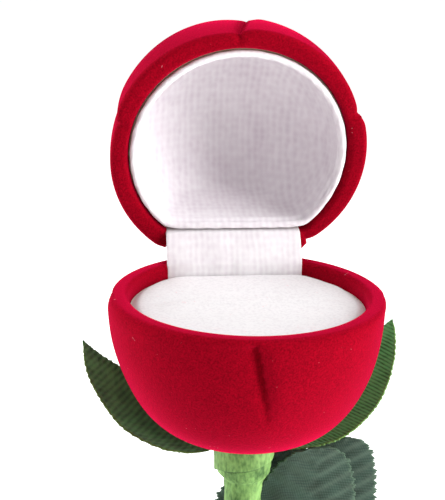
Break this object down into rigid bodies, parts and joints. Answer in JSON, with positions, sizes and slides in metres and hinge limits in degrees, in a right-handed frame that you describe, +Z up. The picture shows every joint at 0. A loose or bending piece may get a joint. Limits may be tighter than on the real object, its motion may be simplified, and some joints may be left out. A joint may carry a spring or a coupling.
{
  "type": "ring box",
  "caption": "Flocked rosebud ring box on a taped artificial rose stem with fabric leaves; the domed lid hinges open over a slit ring pad.",
  "frame": {"origin": "centre of the stem's lower end", "axes": "+Z up the stem to the box, +X along the hinge pin to the right, the open box faces -Y and its hinge is at +Y"},
  "size_m": [0.0506, 0.0594, 0.2092],
  "materials": {
    "red_flock": "short flocked velvet over moulded plastic",
    "card": "plain card",
    "foam": "soft open foam",
    "white_velour": "soft white velour",
    "white_satin": "white satin, fine weave",
    "hinge_steel": "plated sheet steel",
    "stem_wire": "drawn wire",
    "green_plastic": "moulded green plastic",
    "floral_tape": "stretched crepe floral tape",
    "calyx_leaf_fabric": "printed woven leaf fabric with pinked edges",
    "spray_leaf_fabric": "dark printed woven leaf fabric with pinked edges"
  },
  "bodies": {
    "base": {"cup_shell": "red_flock", "pad_card": "card", "pad_foam": "foam", "pad_cover": "white_velour", "hinge_strap": "white_satin", "hinge_leaf_base": "hinge_steel", "hinge_pin": "hinge_steel", "snap_spring": "hinge_steel", "cup_screw": "hinge_steel", "cup_washer": "hinge_steel", "receptacle": "green_plastic", "collar_tape": "floral_tape", "stem_wire": "stem_wire", "stem_tube": "green_plastic", "stem_tape": "floral_tape", "calyx_leaf_left": "calyx_leaf_fabric", "calyx_leaf_right": "calyx_leaf_fabric", "calyx_rib_left": "green_plastic", "calyx_rib_right": "green_plastic", "spray_stalk": "green_plastic", "spray_tape": "floral_tape", "spray_leaf_left": "spray_leaf_fabric", "spray_leaf_middle": "spray_leaf_fabric", "spray_leaf_right": "spray_leaf_fabric", "spray_rib_left": "green_plastic", "spray_rib_middle": "green_plastic", "spray_rib_right": "green_plastic"},
    "lid": {"lid_shell": "red_flock", "lid_card": "card", "lid_lining": "white_satin", "lining_welt": "white_satin", "hinge_leaf_lid": "hinge_steel"}
  },
  "joints": [
    {"name": "lid_hinge", "type": "hinge", "parent": "base", "child": "lid", "pos_m": [0, 0.0181, 0.1702], "axis": [1, 0, 0], "range_deg": [0, 77.5], "deforming": ["hinge_strap"]}
  ]
}
